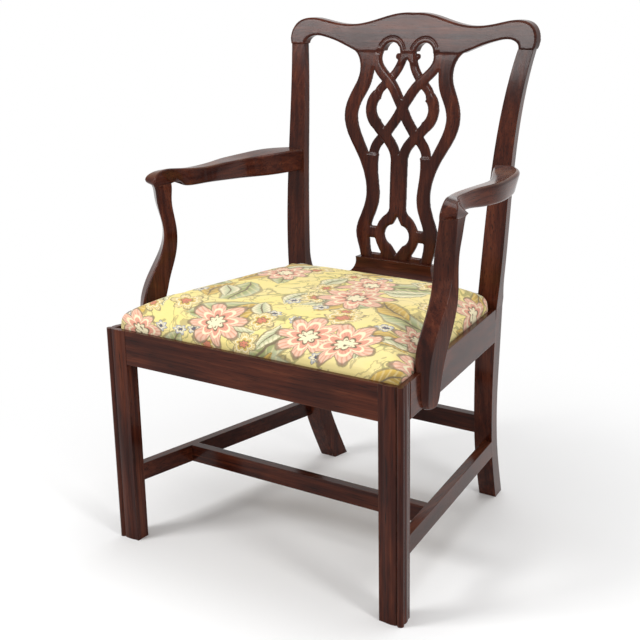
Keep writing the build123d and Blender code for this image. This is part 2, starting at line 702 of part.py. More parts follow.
def splat_shoe():
    """Coved block that holds the foot of the splat on the rear rail."""
    low = SEAT_HEIGHT + REAR_RAIL_RISE
    high = SEAT_HEIGHT + SHOE_TOP
    near = SEAT_DEPTH + SHOE_SET
    far = SEAT_DEPTH + POST_DEPTH
    top = far - SHOE_TOP_DEPTH
    lip = low + 8
    wide = SHOE_HALF_WIDTH + SHOE_FLARE
    side = outline(Line((near, low), (near, lip)),
                   ThreePointArc((near, lip), (top - 2.5, low + 20), (top, high)),
                   Line((top, high), (far, high)), Line((far, high), (far, low)),
                   Line((far, low), (near, low)))
    half = outline(Line((0, low), (wide, low)), Line((wide, low), (wide, lip)),
                   ThreePointArc((wide, lip), (SHOE_HALF_WIDTH + 6, low + 20), (SHOE_HALF_WIDTH, high)),
                   Line((SHOE_HALF_WIDTH, high), (0, high)), Line((0, high), (0, low)))
    return (from_side(side, wide) & from_front(both(half), 0, REACH)) - splat_tenons(JOINT_GAP)


# Arms and supports

def support_line():
    return side_line(SUPPORT_POSITION)


def joint_corners():
    """Corners of the joint between support and arm: inner front, outer front, outer rear, inner rear."""
    x = support_line()
    y = ARM_FRONT
    return [(x + 1, y - 67), (x + 27, y - 48), (x + 27.5, y - 19), (x + 2, y - 17)]


def support_sections():
    """Height above the seat, inner front corner, thickness, depth and outer front corner of each section."""
    front = SUPPORT_POSITION
    return [(-72, -4, front - 9, 14, 23, 11, 8), (-64, -5.5, front - 24, 18, 42, 15, 12),
            (-45, -5.5, front - 34, 20, 55, 18, 16), (0, -5, front - 35, 22.5, 63, 19.5, 17),
            (35, -7.5, front - 28, 28, 67, 24.5, 17), (65, -7.5, front - 12, 29.5, 63, 26, 18),
            (95, -9, front + 10, 30.5, 54, 26.5, 20), (125, -11.5, front + 27, 31.5, 44, 27, 24),
            (155, -12, front + 33, 31.5, 39, 27, 26), (185, -8.5, front + 31, 30.5, 39, 27, 25),
            (215, -3, front + 29, 28.5, 43, 26.5, 22)]


def arm_support():
    """Right arm support: a shaped upright whose foot laps the side rail and ends in a rounded tongue."""
    x = support_line()
    sections = []
    for height, inner, y, thick, depth, across, back in support_sections():
        corners = [(x + inner, y), (x + inner + across, y + back), (x + inner + thick, y + depth),
                   (x + inner, y + depth)]
        face = fillet(make_face(Polyline(*corners, close=True)).vertices(), SUPPORT_ROUND)
        sections.append(Pos(0, 0, SEAT_HEIGHT + height) * face)
    top = fillet(make_face(Polyline(*joint_corners(), close=True)).vertices(), SUPPORT_ROUND)
    sections.append(Pos(0, 0, SEAT_HEIGHT + ARM_JOINT) * top)
    rail_side = plan(side_strip(FILLET_DEPTH / 2, REACH, -SEAT_DEPTH, REACH), 0, SEAT_HEIGHT)
    support = loft(sections) - rail_side - arm_dowel(JOINT_GAP)
    for tip, direction in support_screw_places():
        support -= screw_hole(tip, direction, SUPPORT_SCREW_LENGTH, 0.0)
    return support


def arm_dowel(gap=0.0):
    """Dowel between the right support and arm."""
    corners = joint_corners()
    x = sum(c[0] for c in corners) / 4
    y = sum(c[1] for c in corners) / 4
    low = SEAT_HEIGHT + ARM_JOINT - DOWEL_LENGTH / 2
    return Pos(x, y, low - gap) * extrude(Circle(DOWEL_RADIUS + gap), amount=DOWEL_LENGTH + 2 * gap)


def arm_sections():
    """Corners of the right arm's sections, first turning up from the joint, then along the arm."""
    pivot_z = SEAT_HEIGHT + ARM_JOINT
    x = support_line()
    turning = [(0, [(c[0] - x, ARM_FRONT - c[1]) for c in joint_corners()]),
               (16, [(2, 64), (31.5, 60.5), (26, 9), (0, 2)]),
               (36, [(-2, 51.5), (21, 45), (21, 3), (-6, -5)]),
               (60, [(-10, 35.5), (8.5, 31), (13, 0), (-15, -8)])]
    along = [(0.141, [(-21, 25), (5.5, 26.5), (8.5, -1), (-25, -8)]),
             (0.31, [(-12.6, 24.5), (16.8, 28), (20, -6), (-16, -10)]),
             (0.444, [(-5.4, 24), (33, 28.5), (30, -8.5), (-7, -13)]),
             (0.579, [(0.8, 23.5), (41.2, 29.5), (35.8, -9.5), (0, -16.5)]),
             (0.714, [(-3.5, 24.5), (44.6, 31), (35.5, -10.5), (-3, -18.5)]),
             (0.848, [(-13.8, 27), (44, 32), (32, -11), (-13.5, -17.5)]),
             (0.949, [(-20.5, 29), (31.5, 32), (22, -12), (-21.5, -15)]),
             (1.057, [(-30, 30), (10, 32), (4, -13), (-32, -13)])]
    post_y = SEAT_DEPTH + 23
    faces = []
    for angle, corners in turning:
        turn = radians(angle)
        plane = Plane(origin=(x, ARM_FRONT, pivot_z), x_dir=(1, 0, 0), z_dir=(0, -sin(turn), -cos(turn)))
        faces.append((plane, corners, SUPPORT_ROUND + (ARM_ROUND - SUPPORT_ROUND) * angle / 90))
    for share, corners in along:
        y = ARM_FRONT + share * (post_y - ARM_FRONT)
        centre = x + share * (HALF_REAR - x)
        plane = Plane(origin=(centre, y, pivot_z), x_dir=(1, 0, 0), z_dir=(0, -1, 0))
        faces.append((plane, corners, ARM_ROUND))
    return faces


def arm():
    """Right arm, lofted from the support's top back to the face of the post."""
    sections = []
    for plane, corners, rounding in arm_sections():
        face = make_face(Polyline(*corners, close=True))
        sections.append(plane * fillet(face.vertices(), rounding))
    shape = loft(sections) - from_side(post_profile(), REACH)
    body = shape.solids().sort_by(SortBy.VOLUME)[-1]
    tip, direction, back = arm_screw_place()
    return body - arm_dowel(JOINT_GAP) - screw_hole(tip, direction, ARM_SCREW_LENGTH, 0.0)


# Drop-in seat

def crown_level(inset):
    """Height of the seat's crowned top above the rails, at an inset from its walls."""
    share = 1 - inset / CROWN_RUN
    return SEAT_WALL + (CROWN - SEAT_WALL) * (1 - share ** CROWN_FULLNESS) ** (1 / CROWN_FULLNESS)


def seat_form(shrink):
    """The stuffed seat's closed form: outlines that draw in towards the crown, shrunk on all sides."""
    base = Pos(0, 0, LEDGE) * seat_outline(SEAT_GAP + shrink)
    rings = [Pos(0, 0, SEAT_HEIGHT + crown_level(inset) - shrink) * seat_outline(SEAT_GAP + shrink + inset)
             for inset in CROWN_RINGS]
    return loft([base] + rings, ruled=True)


def above(level):
    return block((-REACH, -REACH, level), (REACH, REACH, level + REACH))


def seat_base():
    """Underside of the seat's wooden frame, on the cover's hem and the rails' ledge."""
    return LEDGE + COVER_THICKNESS + FORM_GAP


def cloth_top():
    return seat_base() + FRAME_THICKNESS + 2 * WEB_THICKNESS + CLOTH_THICKNESS


def seat_cover():
    """Needlework cover: a skin over the form, its hem turned under the frame."""
    outer = seat_form(0) & above(LEDGE + FORM_GAP / 2)
    inner = seat_form(COVER_THICKNESS) & above(seat_base())
    window = seat_outline(SEAT_GAP + HEM_WIDTH)
    return outer - inner - extrude(Pos(0, 0, LEDGE - 1) * window, amount=LEDGE_DROP)


def seat_stuffing():
    form = seat_form(COVER_THICKNESS + FORM_GAP)
    return form & above(cloth_top() + FORM_GAP)


def frame_inset():
    return SEAT_GAP + COVER_THICKNESS + FORM_GAP


def seat_frame():
    """The four rails of the seat's wooden frame, half-lapped at the corners."""
    low = seat_base()
    high = low + FRAME_THICKNESS
    middle = (low + high) / 2
    near = LIP + frame_inset()
    far = SEAT_DEPTH - SEAT_GAP - frame_inset()
    form = extrude(Pos(0, 0, low) * seat_outline(frame_inset()), amount=FRAME_THICKNESS)
    front = block((-REACH, near, low), (REACH, near + FRAME_WIDTH, high)) & form
    rear = block((-REACH, far - FRAME_WIDTH, low), (REACH, far, high)) & form
    inset = LIP + frame_inset()
    side = plan(side_strip(inset - FORM_GAP, inset + FRAME_WIDTH, near, far), low, high) & form
    sides = side + mirror(side, about=Plane.YZ)
    upper = above(middle)
    front -= sides & upper
    rear -= sides & upper
    lower = block((-REACH, -REACH, low), (REACH, REACH, middle))
    ends = lower & (block((-REACH, 0, low), (REACH, near + FRAME_WIDTH, high))
                    + block((-REACH, far - FRAME_WIDTH, low), (REACH, REACH, high)))
    side -= ends
    return front, rear, side


def webbing(lengthwise):
    """Parallel jute webs on top of the frame; the crosswise ones lie over the lengthwise ones."""
    low = seat_base() + FRAME_THICKNESS
    near = LIP + frame_inset() + TACK_RADIUS
    far = SEAT_DEPTH - SEAT_GAP - frame_inset() - TACK_RADIUS
    webs = []
    for index in range(WEB_COUNT):
        share = (index + 0.5) / WEB_COUNT
        if lengthwise:
            half = side_line(far) - LIP - frame_inset() - TACK_RADIUS
            x = -half + 2 * half * share
            webs.append(block((x - WEB_WIDTH / 2, near, low), (x + WEB_WIDTH / 2, far, low + WEB_THICKNESS)))
        else:
            y = near + (far - near) * share
            reach = side_line(y + WEB_WIDTH / 2) - LIP - frame_inset() - TACK_RADIUS
            webs.append(block((-reach, y - WEB_WIDTH / 2, low + WEB_THICKNESS),
                              (reach, y + WEB_WIDTH / 2, low + 2 * WEB_THICKNESS)))
    return Compound(webs)


def base_cloth():
    low = seat_base() + FRAME_THICKNESS + 2 * WEB_THICKNESS
    return extrude(Pos(0, 0, low) * seat_outline(frame_inset() + TACK_RADIUS), amount=CLOTH_THICKNESS)


def tack(x, y):
    """A tack driven up through the cover's hem, its head under the hem."""
    level = LEDGE + FORM_GAP / 2
    head = Pos(x, y, level - 1.2) * extrude(Circle(TACK_RADIUS), amount=1.2)
    shank = Pos(x, y, level) * extrude(Circle(0.9), amount=TACK_LENGTH)
    return head + shank


def tack_places():
    inset = HEM_WIDTH - TACK_RADIUS
    near = LIP + SEAT_GAP + inset
    far = SEAT_DEPTH - 2 * SEAT_GAP - inset
    places = []
    for index in range(TACK_COUNT):
        share = (index + 0.5) / TACK_COUNT
        span = 0.56 * (2 * share - 1)
        places.append((span * side_line(near), near))
        places.append((span * side_line(far), far))
        y = near + (far - near) * (0.2 + 0.6 * share)
        reach = side_line(y) - LIP - SEAT_GAP - inset
        places += [(reach, y), (-reach, y)]
    return places


def all_tacks():
    return [tack(x, y) for x, y in tack_places()]


# Assembly

def pair(name, shape):
    """A right-hand piece and its mirror image as two nodes."""
    nodes[name + "_right"] = shape
    nodes[name + "_left"] = mirror(shape, about=Plane.YZ)


def group(name, shapes):
    """Identical right-hand fasteners and their mirror images as one node."""
    nodes[name] = Compound([s for shape in shapes for s in (shape, mirror(shape, about=Plane.YZ))])


nodes["crest_rail"] = crest_rail()
nodes["back_splat"] = back_splat()
nodes["splat_shoe"] = splat_shoe()
nodes["front_seat_rail"] = front_seat_rail()
nodes["rear_seat_rail"] = rear_seat_rail()
nodes["cross_stretcher"] = cross_stretcher()
nodes["rear_stretcher"] = rear_stretcher()
pair("front_leg", front_leg())
pair("rear_post", rear_post())
pair("side_seat_rail", side_seat_rail())
pair("side_stretcher", side_stretcher())
pair("arm", arm())
pair("arm_support", arm_support())
pair("corner_block_front", corner_block(True))
pair("corner_block_rear", corner_block(False))
group("arm_screws", [screw(arm_screw_place()[0], (0, 1, 0), ARM_SCREW_LENGTH)])
group("arm_screw_plugs", [arm_plug(0.0, 2 * STILE_DEPTH) & from_side(post_profile(), REACH)])
group("arm_dowels", [arm_dowel()])
group("support_screws", [screw(t, d, SUPPORT_SCREW_LENGTH) for t, d in support_screw_places()])
group("block_screws", [screw(t, d, BLOCK_SCREW_LENGTH) for t, d in block_screw_places()])

frame_front, frame_rear, frame_side = seat_frame()
nodes["seat_frame_front"] = frame_front - all_tacks()
nodes["seat_frame_rear"] = frame_rear - all_tacks()
pair("seat_frame", frame_side - all_tacks())
nodes["webbing_lengthwise"] = webbing(True)
nodes["webbing_crosswise"] = webbing(False)
nodes["base_cloth"] = base_cloth()
nodes["seat_stuffing"] = seat_stuffing()
nodes["seat_cover"] = seat_cover() - all_tacks()
nodes["seat_tacks"] = Compound(all_tacks())

depths = [shape.bounding_box() for shape in nodes.values()]
centre = (min(box.min.Y for box in depths) + max(box.max.Y for box in depths)) / 2

os.makedirs("parts", exist_ok=True)
for name, shape in nodes.items():
    export_step(Pos(0, -centre, 0) * shape, os.path.join("parts", name + ".step"))
print("centre moved back by", round(centre, 3))
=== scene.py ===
import json
import math

import bmesh
import bpy
from mathutils import Matrix, Vector
from mathutils.kdtree import KDTree

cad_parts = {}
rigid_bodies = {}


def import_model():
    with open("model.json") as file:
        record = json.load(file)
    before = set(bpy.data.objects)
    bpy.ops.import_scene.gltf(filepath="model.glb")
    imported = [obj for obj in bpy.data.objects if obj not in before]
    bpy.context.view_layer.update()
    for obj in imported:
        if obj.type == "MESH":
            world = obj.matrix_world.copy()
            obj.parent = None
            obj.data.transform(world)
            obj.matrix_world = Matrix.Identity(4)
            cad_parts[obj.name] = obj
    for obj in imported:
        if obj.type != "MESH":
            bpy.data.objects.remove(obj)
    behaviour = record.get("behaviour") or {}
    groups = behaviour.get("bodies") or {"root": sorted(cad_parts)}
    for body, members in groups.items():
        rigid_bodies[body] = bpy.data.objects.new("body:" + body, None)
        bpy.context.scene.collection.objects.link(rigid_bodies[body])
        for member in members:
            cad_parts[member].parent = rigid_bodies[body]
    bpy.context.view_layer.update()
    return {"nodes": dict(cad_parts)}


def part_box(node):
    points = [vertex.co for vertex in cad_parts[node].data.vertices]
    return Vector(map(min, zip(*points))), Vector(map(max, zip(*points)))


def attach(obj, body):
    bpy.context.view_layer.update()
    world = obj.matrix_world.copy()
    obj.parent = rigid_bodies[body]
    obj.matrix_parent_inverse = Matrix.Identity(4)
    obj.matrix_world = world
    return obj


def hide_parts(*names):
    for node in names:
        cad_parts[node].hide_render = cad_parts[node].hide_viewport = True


# Looks of an open armchair: polished mahogany, a carved back and a needlework drop-in seat, in metres.

# Camera, as it stood for the photograph
LENS = 68.12
SENSOR = 36.0
CAMERA_AZIMUTH = 34.87
CAMERA_ELEVATION = 16.51
CAMERA_ROLL = -1.13
CAMERA_DISTANCE = 2.264
CAMERA_TARGET = (0.0004, -0.0606, 0.4284)

# Floor, world, and name, place, size and power of each softbox
FLOOR_HALF = 12.0
FLOOR_GREY = (0.93, 0.93, 0.93, 1)
FLOOR_FADE = (0.45, 1.1)
WORLD_LIGHT = 0.55
SOFTBOX_AIM = (0, 0, 0.5)
SOFTBOXES = [("key", (-1.3, -1.9, 2.3), (0.9, 1.0), 40),
             ("fill", (2.2, -0.9, 1.6), (0.45, 1.5), 20),
             ("top", (0.2, 0.4, 2.6), (1.8, 1.2), 22)]

# CAD pieces by the way their grain runs, and those of other materials
GRAIN_X = ["front_seat_rail", "rear_seat_rail", "cross_stretcher", "rear_stretcher", "splat_shoe",
           "crest_rail"]
GRAIN_Y = ["side_seat_rail_left", "side_seat_rail_right", "side_stretcher_left", "side_stretcher_right"]
GRAIN_Z = ["front_leg_left", "front_leg_right", "rear_post_left", "rear_post_right",
           "arm_support_left", "arm_support_right", "back_splat"]
ARMS = ["arm_left", "arm_right", "arm_screw_plugs"]
PALE_WOOD = ["corner_block_front_left", "corner_block_front_right", "corner_block_rear_left",
             "corner_block_rear_right", "arm_dowels", "seat_frame_front", "seat_frame_rear",
             "seat_frame_left", "seat_frame_right"]
SCREWS = ["arm_screws", "support_screws", "block_screws"]

# Colours, wear, painted top light, thread pitches and relief depths of woods, metals and coarse cloths
MAHOGANY_SHADES = [(0.3, (0.014, 0.003, 0.002)), (0.44, (0.038, 0.0078, 0.0042)),
                   (0.56, (0.076, 0.0175, 0.008)), (0.72, (0.14, 0.039, 0.017))]
MAHOGANY_PORE = (0.01, 0.004, 0.003)
MAHOGANY_GRIME = (0.016, 0.0045, 0.0035)
# Lighter brown of rubbed edges, also laid on upward faces as wear and painted light from above
MAHOGANY_WORN_AND_LIT = (0.17, 0.075, 0.038)
# Share of that lighter brown on upward faces of frame and arms: wear and painted top light together
FRAME_TOP_WEAR_AND_LIGHT = 0.12
ARM_TOP_WEAR_AND_LIGHT = 0.5
WORN_EDGE = 0.0016
GRAIN_DEPTH = 0.0001
BEECH_SHADES = [(0.3, (0.26, 0.15, 0.075)), (0.55, (0.38, 0.24, 0.13)), (0.75, (0.47, 0.32, 0.18))]
BEECH_DIRT = (0.15, 0.1, 0.06)
BEECH_DEPTH = 0.0002
STEEL_TINTS = ((0.45, 0.43, 0.4), (0.2, 0.17, 0.14))
BLUED_TINTS = ((0.09, 0.1, 0.13), (0.03, 0.03, 0.035))
TARNISH_DEPTH = 0.0001
# Jute and hessian: thread colour, then a darker tint painted as shade in the weave's dips and also used for
# random darker threads
JUTE_THREAD_AND_SHADE = ((0.52, 0.4, 0.24), (0.27, 0.19, 0.1))
JUTE_PITCH = 0.0032
JUTE_DEPTH = 0.0006
HESSIAN_THREAD_AND_SHADE = ((0.58, 0.46, 0.3), (0.3, 0.22, 0.13))
HESSIAN_PITCH = 0.0022
HESSIAN_DEPTH = 0.0004

# Stitches and wools of the needlework
STITCH = 0.0016
STITCH_DEPTH = 0.0003
HAND_SWAY = 0.03
WALL_RUN = 3.4
FULL_TURN = 6.28
GROUND_WARM = (0.85, 0.71, 0.25)
GROUND_PALE = (0.82, 0.69, 0.32)
FUZZ = (0.5, 0.42, 0.27)
CREAM = (0.86, 0.77, 0.52)
BLUSH = (0.81, 0.53, 0.39)
ROSE = (0.72, 0.3, 0.22)
CORAL = (0.62, 0.2, 0.12)
GOLD = (0.68, 0.45, 0.09)
OCHRE = (0.42, 0.27, 0.06)
STRAW = (0.8, 0.68, 0.36)
GREEN = (0.3, 0.34, 0.13)
SAGE = (0.52, 0.54, 0.34)
STEM = (0.27, 0.26, 0.1)
NAVY = (0.06, 0.07, 0.14)
PALE_BLUE = (0.5, 0.53, 0.58)
OUTLINE = (0.16, 0.12, 0.07)

# Leaves in the order they are laid: scale, seed, tints and share that is present
LEAVES = [(6.4, 3.1, (GREEN, SAGE, STRAW), 0.8),
          (8.2, 8.4, (OCHRE, GOLD, STRAW), 0.6),
          (11.0, 4.6, (SAGE, CREAM, GREEN), 0.45)]

# Flowers over them: scale, seed, petals, size, tints and share that is present
FLOWERS = [(19.0, 5.7, 6, 0.26, (CREAM, PALE_BLUE, NAVY, NAVY), 0.2),
           (10.0, 1.9, 6, 0.28, (GOLD, STRAW, OCHRE, CORAL), 0.4),
           (5.4, 6.3, 8, 0.29, (ROSE, BLUSH, CORAL, CREAM), 0.75)]

# Carving of the back: its mesh, the ridges that are rounded over, and the groove round each loop
CARVE_VOXEL = 0.0014
CARVE_SMOOTHING = 3
WELD = 0.00001
BACK_RAKE = 0.15
FRONT_FACING = 0.8
SIDE_FACING = 0.6
RIDGE_STEP = 0.001
JOINT_CLEAR = 0.0012
CREST_TENON = 0.020
SPLAT_TENON = 0.010
ROUND_WIDTH = 0.0065
ROUND_DEPTH = 0.0026
LOOP_X = 0.0375
LOOP_RISE = 0.0205
GROOVE_OFFSET = 0.0105
GROOVE_HALF = 0.0022
GROOVE_DEPTH = 0.0011

# Seat: taper and corners of its plan, drawn-in sides, and crown above the rails
SPLAY = 0.1594
RAIL_DROP = 0.024
SEAT_CORNER = 0.022
CORNER_STEPS = 8
SIDE_DRAW = 0.002
SIDE_STEPS = 36
SEAT_WALL = 0.010
CROWN = 0.050
CROWN_RUN = 0.150
CROWN_FULLNESS = 2.7
CROWN_STEPS = 12
CROWN_SPACING = 2.2

# Needlework cover: its mesh, its swelling as cloth, and its hem
SEAT_VOXEL = 0.005
SEAT_SMOOTHING = 2
CLOTH_FRAMES = 20
CLOTH_QUALITY = 6
CLOTH_MASS = 0.25
CLOTH_STIFFNESS = 18
CLOTH_BENDING = 1.0
CLOTH_PRESSURE = 4.0
CLOTH_CAP = 0.008
SIDE_CAP = 0.0008
HELD_RISE = 0.004
HEM_WIDTH = 0.030
HEM_FACING = -0.7
COVER_THICKNESS = 0.0014

# Webs
WEB_COUNT = 4
WEB_WIDTH = 0.050
WEB_THICKNESS = 0.0013
WEB_SKIN = 0.92
WEB_FOLD = 0.028
WEB_STEPS = 90

# Base cloth
HESSIAN_THICKNESS = 0.0006
HESSIAN_INSET = 0.009
HESSIAN_SAG = 0.0012
HESSIAN_EDGE = 0.05
HESSIAN_EASE = 0.012
HESSIAN_COLUMNS = 72
HESSIAN_ROWS = 56

for leftover in list(bpy.data.objects):
    bpy.data.objects.remove(leftover)

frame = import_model()
nodes = frame["nodes"]
scene = bpy.context.scene


# Materials

class Graph:
    """Node tree of a material or a world."""

    def __init__(self, owner):
        owner.use_nodes = True
        self.owner = owner
        self.tree = owner.node_tree
        self.tree.nodes.clear()

    def put(self, socket, value):
        """Links a socket to another, or sets its value."""
        if isinstance(value, bpy.types.NodeSocket):
            self.tree.links.new(value, socket)
        else:
            socket.default_value = value

    def add(self, kind, inputs=None, **settings):
        node = self.tree.nodes.new(kind)
        for key, value in settings.items():
            setattr(node, key, value)
        for key, value in (inputs or {}).items():
            self.put(node.inputs[key], value)
        return node

    def math(self, operation, a, b=0.0):
        return self.add("ShaderNodeMath", {0: a, 1: b}, operation=operation).outputs[0]

    def times(self, a, b):
        return self.math("MULTIPLY", a, b)

    def scaled(self, value, factor, offset):
        """A value times a factor, plus an offset."""
        return self.math("ADD", self.times(value, factor), offset)

    def vector(self, operation, a, b=(0.0, 0.0, 0.0)):
        return self.add("ShaderNodeVectorMath", {0: a, 1: b}, operation=operation).outputs[0]

    def length(self, a):
        return self.add("ShaderNodeVectorMath", {0: a}, operation="LENGTH").outputs["Value"]

    def mix(self, factor, a, b):
        """Colour a where the factor is 0, b where it is 1; each is a socket or three numbers."""
        node = self.add("ShaderNodeMix", {0: factor}, data_type="RGBA")
        for index, colour in ((6, a), (7, b)):
            if not isinstance(colour, bpy.types.NodeSocket):
                colour = (*colour, 1.0)
            self.put(node.inputs[index], colour)
        return node.outputs[2]

    def noise(self, place, scale, detail=4.0, roughness=0.55, distortion=0.0):
        return self.add("ShaderNodeTexNoise", {"Vector": place, "Scale": scale, "Detail": detail,
                                               "Roughness": roughness, "Distortion": distortion}).outputs[0]

    def ramp(self, factor, stops):
        node = self.add("ShaderNodeValToRGB", {0: factor})
        elements = node.color_ramp.elements
        while len(elements) < len(stops):
            elements.new(0.5)
        for element, (place, colour) in zip(elements, stops):
            element.position = place
            element.color = (*colour, 1.0)
        return node.outputs[0]

    def step(self, value, low, high):
        """0 below low, 1 above high, smooth between; low may be above high."""
        node = self.add("ShaderNodeMapRange", {0: value, 1: low, 2: high}, interpolation_type="SMOOTHSTEP")
        return node.outputs[0]

    def place(self):
        return self.add("ShaderNodeTexCoord").outputs["Object"]

    def bump(self, height, distance, normal=None):
        inputs = {"Height": height, "Distance": distance}
        if normal is not None:
            inputs["Normal"] = normal
        return self.add("ShaderNodeBump", inputs).outputs[0]

    def finish(self, **inputs):
        """Ends a material with one shader and returns it."""
        shader = self.add("ShaderNodeBsdfPrincipled", {k.replace("_", " "): v for k, v in inputs.items()})
        self.add("ShaderNodeOutputMaterial", {0: shader.outputs[0]})
        return self.owner


def material_graph(name):
    return Graph(bpy.data.materials.new(name))


def grain_scale(grain, along, across):
    """Scale of a texture on each axis, along the grain and across it."""
    return tuple(along if axis == grain else across for axis in "xyz")


def mahogany(name, grain, top_wear_and_light):
    """Old polished mahogany with its grain along one axis, edges worn lighter, and upward faces lighter from
    wear and painted light.
    """
    g = material_graph(name)
    place = g.place()
    coarse = g.vector("MULTIPLY", place, grain_scale(grain, along=1, across=14))
    fine = g.vector("MULTIPLY", place, grain_scale(grain, along=2, across=70))
    hair = g.vector("MULTIPLY", place, grain_scale(grain, along=9, across=364))
    figure = g.noise(coarse, 2.6, detail=5, roughness=0.6, distortion=0.8)
    streak = g.noise(fine, 2.2, detail=4, roughness=0.6, distortion=0.3)
    pores = g.noise(hair, 2.4, detail=2, roughness=0.5)
    patina = g.noise(place, 7.0, detail=3, roughness=0.5)
    colour = g.ramp(g.scaled(figure, 0.6, g.times(streak, 0.4)), MAHOGANY_SHADES)
    colour = g.mix(g.step(pores, 0.56, 0.7), colour, MAHOGANY_PORE)
    colour = g.mix(g.times(g.step(patina, 0.42, 0.7), 0.55), colour, MAHOGANY_GRIME)
    normal = g.add("ShaderNodeNewGeometry").outputs["Normal"]
    soft = g.add("ShaderNodeBevel", {"Radius": WORN_EDGE}, samples=6).outputs[0]
    turn = g.add("ShaderNodeVectorMath", {0: soft, 1: normal}, operation="DOT_PRODUCT").outputs[1]
    rubbed = g.times(g.step(turn, 0.985, 0.86), g.step(g.noise(place, 24.0, detail=3), 0.4, 0.62))
    # Upward faces turn lighter in patches: partly wear, partly painted light falling from above
    facing = g.add("ShaderNodeSeparateXYZ", {0: normal}).outputs[2]
    worn_and_lit_top = g.times(g.step(facing, 0.35, 0.95), g.step(g.noise(place, 15.0, detail=4), 0.38, 0.66))
    wear_and_top_light = g.math("MAXIMUM", g.times(rubbed, 0.45), g.times(worn_and_lit_top, top_wear_and_light))
    colour = g.mix(wear_and_top_light, colour, MAHOGANY_WORN_AND_LIT)
    rough = g.scaled(g.noise(place, 45.0, detail=3), 0.12, 0.1)
    relief = g.scaled(pores, 0.5, g.times(streak, 0.5))
    return g.finish(Base_Color=colour, Roughness=rough, Normal=g.bump(relief, GRAIN_DEPTH, soft),
                    Coat_Weight=0.03, Coat_Roughness=0.05, Specular_IOR_Level=0.13)


def pale_wood(name):
    """Bare beech, a little dusty."""
    g = material_graph(name)
    place = g.place()
    drawn_out = g.vector("MULTIPLY", place, (9, 9, 40))
    grain = g.noise(drawn_out, 5.0, detail=4, roughness=0.6, distortion=0.4)
    dirt = g.step(g.noise(place, 14.0, detail=4), 0.45, 0.75)
    colour = g.mix(g.times(dirt, 0.5), g.ramp(grain, BEECH_SHADES), BEECH_DIRT)
    return g.finish(Base_Color=colour, Roughness=0.72, Normal=g.bump(grain, BEECH_DEPTH))


def metal(name, tints, rough):
    """Dull steel with a blotchy tarnish."""
    g = material_graph(name)
    blotch = g.noise(g.place(), 220.0, detail=4)
    colour = g.mix(g.step(blotch, 0.35, 0.7), *tints)
    return g.finish(Base_Color=colour, Metallic=1.0, Roughness=g.scaled(blotch, 0.25, rough),
                    Normal=g.bump(blotch, TARNISH_DEPTH))


def weave(g, place, pitch, turn=0.0):
    """Height of a plain weave, threads crossing at the given pitch."""
    spin = g.add("ShaderNodeVectorRotate", {"Vector": place, "Angle": turn}, rotation_type="Z_AXIS")
    axes = g.add("ShaderNodeSeparateXYZ", {0: spin.outputs[0]}).outputs
    scale = 2 * math.pi / pitch
    across = g.math("SINE", g.times(axes[0], scale))
    along = g.math("SINE", g.times(axes[1], scale))
    return g.scaled(g.times(across, along), 0.5, 0.5)


def coarse_cloth(name, tints, pitch, depth):
    """Jute or hessian: a visible weave with uneven threads."""
    light, shaded_dip_and_dark_thread = tints
    g = material_graph(name)
    place = g.place()
    threads = weave(g, place, pitch)
    uneven = g.noise(place, 160.0, detail=4)
    # The weave's dips take the darker tint as painted shade; the same tint marks random darker threads
    colour = g.mix(g.times(uneven, 0.4), g.mix(threads, shaded_dip_and_dark_thread, light), shaded_dip_and_dark_thread)
    return g.finish(Base_Color=colour, Roughness=0.95, Normal=g.bump(threads, depth))


def stitched_place(g):
    """Seat coordinates that run on down the walls, in the small squares of the canvas."""
    axes = g.add("ShaderNodeSeparateXYZ", {0: g.place()}).outputs
    drop = g.math("SUBTRACT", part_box("seat_cover")[1].z, axes[2])
    spread = g.scaled(drop, WALL_RUN, 1.0)
    flat = g.add("ShaderNodeCombineXYZ", {0: g.times(axes[0], spread),
                                          1: g.times(axes[1], spread)}).outputs[0]
    sway = g.add("ShaderNodeCombineXYZ", {0: g.noise(flat, 13.0, detail=2),
                                          1: g.noise(flat, 11.0, detail=2)}).outputs[0]
    drawn = g.vector("ADD", flat, g.vector("MULTIPLY", sway, (HAND_SWAY, HAND_SWAY, 0.0)))
    return g.vector("SNAP", drawn, (STITCH, STITCH, STITCH))


def scattered(g, place, scale, seed):
    """Distance, angle and random numbers of the nearest of many scattered centres."""
    moved = g.vector("ADD", place, (seed, seed * 0.7, 0.0))
    cells = g.add("ShaderNodeTexVoronoi", {"Vector": moved, "Scale": scale, "Randomness": 0.72},
                  voronoi_dimensions="2D").outputs
    local = g.vector("SUBTRACT", moved, cells["Position"])
    axes = g.add("ShaderNodeSeparateXYZ", {0: local}).outputs
    radius = g.times(g.length(local), scale)
    angle = g.math("ARCTAN2", axes[1], axes[0])
    chance = g.add("ShaderNodeSeparateXYZ", {0: cells["Color"]}).outputs
    return radius, angle, chance


def band(g, value, middle, half):
    """1 on a narrow band round a value."""
    off = g.math("ABSOLUTE", g.math("SUBTRACT", value, middle))
    return g.math("SUBTRACT", 1.0, g.step(off, half * 0.55, half))


